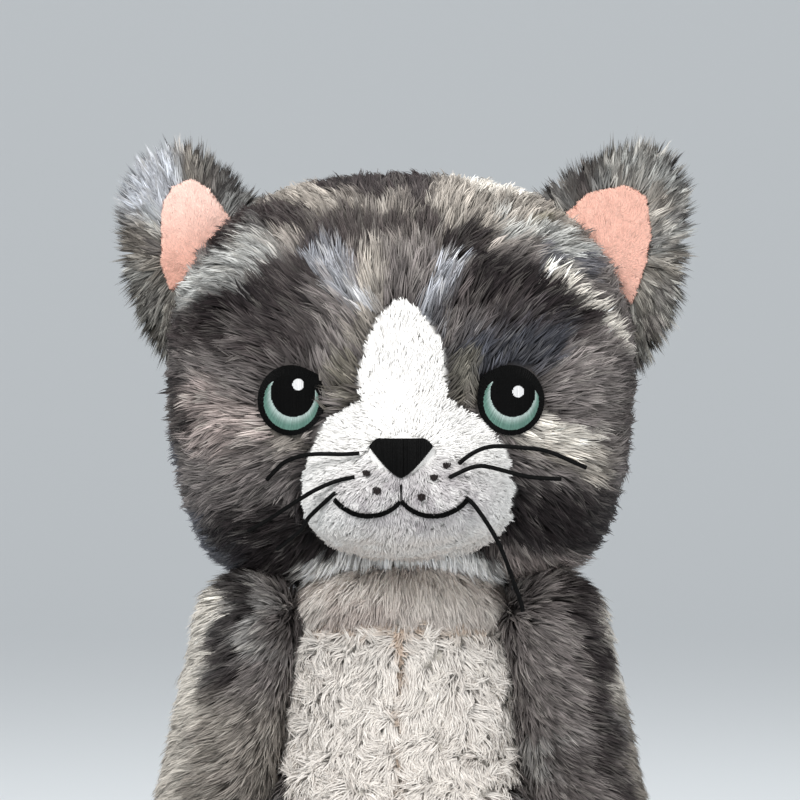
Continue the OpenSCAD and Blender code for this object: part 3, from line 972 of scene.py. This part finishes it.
def add_ear(side_name):
    side = SIDES[side_name]
    node = f"ear_{side_name}_back"
    lining = f"ear_{side_name}_lining"
    body = "ear_" + side_name
    low, high = cad_box(node)
    centre = np.array([side * 70, (low[1] + high[1]) / 2, 236])
    back_distance = plate_distance(EAR_OUTLINES[side_name], side, low[1], high[1], 2.2)
    back = star_surface(back_distance, centre, 60, 6)
    lining_low, lining_high = cad_box(lining)
    lining_distance = plate_distance(LINING_OUTLINES[side_name], side, lining_low[1], lining_high[1], 0.7)
    root = np.array([side * 66, centre[1], 230])

    points, normals = back.scatter(3600, 90)
    hanging = smoothstep(240, 222, points[:, 2])[:, None]
    flow = unit((points - root) * [1, 0, 1]) - UP * (0.1 + 0.9 * hanging)
    in_lining = lining_distance(points * [1, 0, 1] + [0, (lining_low[1] + lining_high[1]) / 2, 0])
    keep = (in_lining > 0.2) | (normals[:, 1] > 0.3)
    points, normals, flow, hanging = only(keep, points, normals, flow, hanging)
    colour = mix(TAN_GREY, LIGHT_GREY, smoothstep(-1, 1, waves(points, 12, 12))[:, None])
    colour = mix(colour, mix(OLIVE, SLATE, 0.35) * 1.25, 0.7 * hanging)
    colour = mix(colour, BROWN_GREY, smoothstep(0.3, 1.2, waves(points, 10, 13))[:, None] * 0.7)
    out = np.abs(points[:, 0])
    inner_top = smoothstep(69, 62, out) * smoothstep(244, 252, points[:, 2])
    colour = mix(colour, DARK, 0.7 * inner_top[:, None])
    pale_corner = smoothstep(69, 75, out) * smoothstep(240, 250, points[:, 2]) * (side < 0)
    colour = mix(colour, BLUE_WHITE, 0.8 * pale_corner[:, None])
    root_colour, tips = streaked(colour, 91, 0.3)
    rng = np.random.default_rng(92)
    dark_tip = (rng.uniform(size=(len(points), 1)) < 0.62) * rng.uniform(0.6, 1, (len(points), 1))
    rim = smoothstep(-7, -2, back_distance(points * [1, 0, 1] + [0, centre[1], 0]))[:, None]
    tips = mix(tips, BLACK_BROWN, dark_tip * rim * (1 - 0.75 * pale_corner[:, None]))
    length = 7 + 2 * smoothstep(225, 262, points[:, 2]) - inner_top + 2 * hanging[:, 0]
    grow(node, points, normals, flow, root_colour, tips, body, "grey_fur", length, back, 93, per_tuft=8,
         tuft_r=1.4, width=0.4, lean=(62, 82), gather=0.8, frizz=0.04, swing=0.22, root_shade=0.7, hug=False)
    add_form(node + "_form", back, lambda p: tiled(p, TAN_GREY), body, [])

    front = star_surface(lining_distance, (lining_low + lining_high) / 2, 50, 6)
    add_form(lining + "_form", front, lambda p: tiled(p, PINK * PALE_FORM), body, [],
             inset=0.1)
    points, normals = front.scatter(11000, 94)
    points, normals = only(normals[:, 1] < 0.2, points, normals)
    flow = unit((points - root) * [1, 0, 1]) + 0.5 * swirl(points, 6, 95)
    tone = 1 + 0.04 * waves(points, 5, 98)
    deep = smoothstep(258, 226, points[:, 2]) if side < 0 else np.full(len(points), 0.8)
    velour = mix(PINK, DEEP_PINK, deep[:, None]) * tone[:, None]
    grow(lining, points, normals, flow, velour, velour * 1.03, body, "pink_plush", 1.5, front, 99, SHORT_PILE,
         name=lining + "_velour", per_tuft=4, tuft_r=0.6, width=0.3, lean=(45, 80), gather=0.3, frizz=0.1,
         root_shade=0.9, soft=0.9)


for ear_side in SIDES:
    add_ear(ear_side)


# ---------- torso ----------

def torso_distance(points):
    lower = rounded(points, np.array([0, 0, 38.5]), np.array([BODY_R - 1, BODY_R - 1, 38.5]), 2.6)
    upper = rounded(points, np.array([0, -3, 98]), np.array([38, 31, 37]), 2.3)
    return joined(lower, upper, 26)


TORSO = star_surface(torso_distance, np.array([0, 0, 62.0]), 120, 7)
BELLY_HALF_W = 33
# Heights, each with the share of the belly panel's half width there
BELLY_EDGE = [(0, 0.5), (12, 0.6), (30, 0.9), (75, 1.1), (118, 0.93)]
BELLY_LOW_Z = 8
FRONT_Y = -4               # the yoke and belly lie in front of this
YOKE_LAP = 4               # how far above its seam the yoke's fur is rooted


def torso_coat(points):
    return tabby(points * [0.7, 0.7, 2.0], 42, 13)


def on_yoke(points):
    return (points[:, 1] < FRONT_Y) & (points[:, 2] > YOKE_SEAM_Z + YOKE_LAP)


def on_belly(points):
    edge = BELLY_HALF_W * np.interp(points[:, 2], *zip(*BELLY_EDGE))
    inside = (np.abs(points[:, 0]) < edge) & (points[:, 2] > BELLY_LOW_Z) & (points[:, 1] < FRONT_Y)
    return inside & ~on_yoke(points)


def grow_torso():
    points, normals = TORSO.scatter(11000, 100)
    yoke = on_yoke(points)
    belly = on_belly(points)
    seat = ~belly & (points[:, 2] < 3)
    grey = ~yoke & ~belly & ~seat
    down = tiled(points, [0.0, 0.0, -1.0])
    coat = torso_coat(points)
    left = points[:, 0] < 0
    for node, chosen in (("flank_left", grey & left), ("flank_right", grey & ~left)):
        grow(node, *only(chosen, points, normals, down), *streaked(coat[chosen], 101), "torso", "grey_fur",
             10, TORSO, 102, tuft_r=2.2, width=0.5, **(LIMB_PILE | {"lean": (30, 74)}))
    grow("seat_panel", *only(seat, points, normals), points[seat] * [1, 1, 0], *streaked(coat[seat], 103),
         "torso", "grey_fur", 6, TORSO, 104, per_tuft=8, tuft_r=2.2, width=0.5, lean=(60, 88))

    tone = smoothstep(-0.2, 1.2, waves(points[yoke] * [1, 1, 0.2], 9, 105))[:, None]
    coat = mix(CHEST_LIGHT, CHEST_SHADE, tone)
    above_seam = points[yoke][:, 2] - YOKE_SEAM_Z - YOKE_LAP
    # Darker near the seam, painted shade of the fold there, and brighter higher up, painted light against the
    # shadow under the chin.
    coat = coat * (0.78 + 0.5 * smoothstep(2, 18, above_seam))[:, None]
    length = 13 - 9 * np.exp(-above_seam / 6)
    flow = down[yoke] + normals[yoke] * [0.3, 0, 0]
    grow("chest_yoke", *only(yoke, points, normals), flow, coat, coat, "torso", "white_plush", length, TORSO,
         106, SHORT_PILE, per_tuft=24, tuft_r=2.8, width=0.4, lean=(50, 87), gather=0.35, frizz=0.035,
         droop=0.1, root_shade=0.85)


def grow_belly():
    """Shaggy fur with a parting down the middle and a shorter rim along the yoke's seam."""
    points, normals = TORSO.scatter(26000, 111)
    points, normals = only(on_belly(points), points, normals)
    across_seam = np.minimum(np.abs(points[:, 0] + 0.5), 0.6 * np.abs(points[:, 2] - YOKE_SEAM_Z - 2.5))
    seam = np.exp(-((across_seam / 1.3) ** 2))[:, None]
    # Random darker patches: painted shade in the hollows between the shag's clumps.
    hollow = smoothstep(0.3, 1.5, waves(points, 7, 112))[:, None]
    coat = mix(srgb(224, 218, 211), srgb(190, 182, 175), 0.6 * hollow)
    # Darker towards the top: painted shade under the yoke.
    coat = coat * (1 - 0.25 * smoothstep(98, 114, points[:, 2]))[:, None]
    # The parting and the yoke's seam are drawn tan-brown: real seams, with painted shade in them.
    coat = mix(coat, srgb(172, 148, 127), 0.8 * seam)
    flow = swirl(points, 9, 107) - [0, 0, 0.9]
    length = 7.5 - 4.5 * seam[:, 0]
    grow("belly_panel", points, normals, flow, coat, coat * 1.05, "torso", "cream_shag", length, TORSO, 110,
         SHORT_PILE, per_tuft=7, tuft_r=1.7, width=0.48, lean=(35, 80), gather=0.7, frizz=0.08,
         root_shade=0.8, soft=0.8)


def torso_form_coat(points):
    middle = np.abs(points[:, 0]) < BELLY_HALF_W * 1.05
    pale = middle & (points[:, 1] < FRONT_Y) & (points[:, 2] > BELLY_LOW_Z)
    return np.where(pale[:, None], CREAM * PALE_FORM, torso_coat(points))


add_form("torso_form", TORSO, torso_form_coat, "torso", ["torso_stuffing"])
grow_torso()
grow_belly()


def add_neck():
    low, high = cad_box("neck_stuffing")
    centre = (low + high) / 2
    ball = star_surface(lambda p: rounded(p, centre, (high - low) / 2, 2), centre, 40, 5)
    add_form("neck_form", ball, lambda p: tiled(p, CREAM), "neck", ["neck_stuffing"])


add_neck()


# ---------- front legs ----------

SOCK_FORM = 2.0            # brightness of the fabric under a white paw or foot, as PALE_FORM

def arm_axis(side_name):
    """Shoulder, hand and radius of a front leg, in millimetres."""
    side = SIDES[side_name]
    paw_low, paw_high = cad_box(f"arm_{side_name}_paw")
    radius = (paw_high[1] - paw_low[1]) / 2
    shoulder = pivot(f"arm_{side_name}_swing")
    outer = max(abs(paw_low[0]), abs(paw_high[0]))
    hand = np.array([side * (outer - radius), shoulder[1], paw_low[2] + radius])
    return shoulder, hand, radius


def arm_coat(points, shoulder, hand, side):
    """Dark stripe down the front with a cream band outside it, farther out on the right."""
    axis_x = np.interp(points[:, 2], [hand[2], shoulder[2]], [hand[0], shoulder[0]])
    outward = side * (points[:, 0] - axis_x) + 1.6 * waves(points, 22, 14)
    outward = outward + 4 * smoothstep(108, 122, points[:, 2])
    colour = tabby(points * [1, 1, 1.3], 30, 15)
    colour = mix(colour, BROWN_GREY * 1.1, 0.5)
    stripe = 7 if side < 0 else 12
    colour = mix(colour, BLACK_BROWN, (0.9 * smoothstep(5.5, 2, np.abs(outward - stripe)))[:, None])
    band = smoothstep(stripe + 3.5, stripe + 5.5, outward) * smoothstep(25, 22, outward)
    low = smoothstep(98, 84, points[:, 2])[:, None]
    outside = CREAM * 0.85 if side < 0 else mix(CREAM * 0.6, TAN_GREY * 0.6, low)
    colour = mix(colour, outside, (0.9 * band)[:, None])
    return mix(colour, TAN_GREY, 0.6 * low) if side < 0 else colour


def add_arm(side_name):
    side = SIDES[side_name]
    shoulder, hand, radius = arm_axis(side_name)
    radius = radius - 1

    def distance(points):
        limb = capsule(points, shoulder + [-side * 2, 0, 4], hand + [side * 3, 0, 0], radius - 1, radius)
        paw = rounded(points, hand + [0, -2, 1], np.array([radius + 0.5, radius + 1, radius + 1]), 2.3)
        return joined(limb, paw, 5)

    surface = star_surface(distance, (shoulder + hand) / 2, 90, 6)
    body = "arm_" + side_name
    points, normals = surface.scatter(8000, 120)
    sock_top = cad_box(body + "_sleeve")[0][2] + 4
    sock = points[:, 2] < sock_top
    flow = tiled(points, [side, 0.3, -0.45])
    root, tips = streaked(arm_coat(points + unit(flow) * 6, shoulder, hand, side), 121)
    grow(body + "_sleeve", *only(~sock, points, normals, flow, root, tips), body, "grey_fur", 10, surface,
         122, per_tuft=6, width=0.48, **(SMOOTH_PILE | {"lean": (52, 87)}))
    coat = tiled(points[sock], WHITE)
    grow(body + "_paw", *only(sock, points, normals, flow - UP), coat, coat, body, "white_plush", 7,
         surface, 123, **SOCK_PILE)

    def form_coat(points):
        return np.where(points[:, 2:] < sock_top, WHITE * SOCK_FORM, arm_coat(points, shoulder, hand, side))

    add_form(body + "_form", surface, form_coat, body, [body + "_stuffing"])


# ---------- hind legs ----------

TOE_TO_ANKLE = 12          # how far behind the foot's centre its white fur ends


def leg_coat(points):
    return tabby(points * [0.8, 1.8, 0.8], 34, 16)


def add_leg(side_name):
    body = "leg_" + side_name
    hip = pivot(body + "_lift")
    foot_low, foot_high = cad_box(body + "_foot")
    skin_low, skin_high = cad_box(body + "_skin")
    radius = (skin_high[0] - skin_low[0]) / 2 - 2
    foot_half_w = (foot_high[0] - foot_low[0]) / 2
    foot = np.array([hip[0], foot_low[1] + foot_half_w, (foot_low[2] + foot_high[2]) / 2])
    foot_half = np.array([foot_half_w, foot_half_w, (foot_high[2] - foot_low[2]) / 2]) - 1
    ankle = np.array([hip[0], foot[1] + 6, hip[2]])

    def distance(points):
        limb = capsule(points, hip, ankle, radius, radius)
        return joined(limb, rounded(points, foot, foot_half, 2.6), 6)

    surface = star_surface(distance, (hip + foot) / 2, 90, 6)
    points, normals = surface.scatter(4600, 130)
    white = points[:, 1] < foot[1] + TOE_TO_ANKLE
    root, tips = streaked(leg_coat(points), 131)
    flow = tiled(points, [0.0, -1.0, -0.25])
    grow(body + "_skin", *only(~white, points, normals, flow, root, tips), body, "grey_fur", 9.5, surface,
         132, tuft_r=2.0, width=0.48, **LIMB_PILE)
    up_flow = unit(points - foot) * [1, 0.3, 1] + UP * 0.2
    coat = tiled(points[white], WHITE)
    grow(body + "_foot", *only(white, points, normals, up_flow), coat, coat, body, "white_plush", 6.5,
         surface, 133, **SOCK_PILE)

    def form_coat(points):
        return np.where(points[:, 1:2] < foot[1] + TOE_TO_ANKLE, WHITE * SOCK_FORM, leg_coat(points))

    add_form(body + "_form", surface, form_coat, body, [body + "_stuffing"])


for limb_side in SIDES:
    add_arm(limb_side)
    add_leg(limb_side)


# ---------- tail ----------

def add_tail():
    root = pivot("tail_swing")
    low, high = cad_box("tail_skin")
    radius = (high[2] - low[2]) / 2
    bend = high[1] - radius - root[1]
    centre = root + [bend, 0, 0]
    root_turn, end_turn, tip_turn = math.radians(-10), math.radians(160), math.radians(118)

    def along(turn):
        turn = np.asarray(turn)
        return centre + bend * np.stack([-np.cos(turn), np.sin(turn), np.zeros_like(turn)], -1)

    def turn_of(points):
        local = points - centre
        turn = np.arctan2(local[:, 1], -local[:, 0])
        return np.clip(turn, root_turn, end_turn)

    def radius_at(turn):
        return (radius - 1) * (1 - 0.25 * smoothstep(end_turn - 0.5, end_turn, turn))

    def distance(points):
        turn = turn_of(points)
        return np.linalg.norm(points - along(turn), axis=1) - radius_at(turn)

    turns = np.linspace(root_turn, end_turn, 90)
    around = np.radians(np.arange(0, 360, 12))
    caps = 7
    rings = []
    for k in range(-caps, len(turns) + caps):
        turn = turns[min(max(k, 0), len(turns) - 1)]
        beyond = max(0, -k, k - len(turns) + 1) / caps * math.pi / 2
        toward = np.array([math.sin(turn), math.cos(turn), 0]) * (-1 if k < 0 else 1)
        outward = np.array([-math.cos(turn), math.sin(turn), 0])
        ring_r = radius_at(turn) * max(math.cos(beyond), 0.02)
        middle = along(turn) + toward * radius_at(turn) * math.sin(beyond)
        rings.append(middle + ring_r * (np.cos(around)[:, None] * outward + np.sin(around)[:, None] * UP))
    vertices = np.concatenate(rings)
    grid = np.arange(len(vertices)).reshape(len(rings), len(around))
    ahead = np.roll(grid, -1, 1)
    triangles = np.concatenate([
        np.stack([grid[:-1], ahead[:-1], ahead[1:]], -1).reshape(-1, 3),
        np.stack([grid[:-1], ahead[1:], grid[1:]], -1).reshape(-1, 3)])
    surface = Surface(distance, vertices, triangles)
    points, normals = surface.scatter(3400, 140)
    turn = turn_of(points)
    bands = np.sin(turn * 9 + 0.6 * waves(points, 20, 17))
    coat = mix(tabby(points, 30, 18), DARK, (0.8 * smoothstep(0.2, 0.7, bands))[:, None])
    tip = turn > tip_turn
    coat[tip] = BLACK_BROWN * 1.3
    root_colour, tips = streaked(coat, 141)
    flow = np.stack([np.sin(turn), np.cos(turn), np.zeros(len(turn))], 1)
    for node, chosen, slot in (("tail_skin", ~tip, "grey_fur"), ("tail_tip", tip, "dark_fur")):
        grow(node, *only(chosen, points, normals, flow, root_colour, tips), "tail", slot, 9.5, surface, 142,
             tuft_r=1.8, width=0.46, **LIMB_PILE)
    add_form("tail_form", surface, lambda p: tiled(p, BROWN_GREY), "tail",
             ["tail_stuffing"])


add_tail()


# ---------- stage and lights ----------

def add_stage():
    """Pale floor that curves up into a plain backdrop."""
    half_w = 3.0
    bend_start, bend_r = 2.4, 0.8
    profile = [(-3.0, 0.0), (bend_start, 0.0)]
    for degrees in range(10, 91, 10):
        a = math.radians(degrees)
        profile.append((bend_start + bend_r * math.sin(a), bend_r * (1 - math.cos(a))))
    profile.append((bend_start + bend_r, 4.0))
    stage = bmesh.new()
    pairs = [(stage.verts.new((-half_w, y, z)), stage.verts.new((half_w, y, z))) for y, z in profile]
    for (a, b), (c, d) in zip(pairs, pairs[1:]):
        stage.faces.new((a, b, d, c))
    mesh = bpy.data.meshes.new("stage")
    stage.to_mesh(mesh)
    stage.free()
    mesh.shade_smooth()
    material = bpy.data.materials.new("stage_paper")
    material.use_nodes = True
    shader = material.node_tree.nodes["Principled BSDF"]
    shader.inputs["Base Color"].default_value = (*srgb(172, 176, 178), 1)
    shader.inputs["Roughness"].default_value = 0.9
    shader.inputs["Emission Color"].default_value = (0.82, 0.86, 0.9, 1)
    shader.inputs["Emission Strength"].default_value = 0.34
    mesh.materials.append(material)
    floor = bpy.data.objects.new("stage", mesh)
    bpy.context.scene.collection.objects.link(floor)


def add_light(name, place, aim, size, power):
    light = bpy.data.lights.new(name, "AREA")
    light.shape = "DISK"
    light.size = size
    light.energy = power
    lamp = bpy.data.objects.new(name, light)
    lamp.location = place
    direction = Vector(aim) - Vector(place)
    lamp.rotation_euler = direction.to_track_quat("-Z", "Y").to_euler()
    bpy.context.scene.collection.objects.link(lamp)


def light_scene():
    target = (0, 0, 0.17)
    add_light("key", (-0.6, -1.4, 1.0), target, 0.8, 30)
    add_light("fill", (1.1, -1.1, 0.5), target, 1.0, 12)
    add_light("top", (0.1, 0.1, 1.4), target, 0.9, 14)
    world = bpy.data.worlds.new("studio")
    world.use_nodes = True
    world.node_tree.nodes["Background"].inputs["Color"].default_value = (0.75, 0.78, 0.8, 1)
    world.node_tree.nodes["Background"].inputs["Strength"].default_value = 0.3
    bpy.context.scene.world = world
    bpy.context.scene.view_settings.view_transform = "Standard"


add_stage()
light_scene()
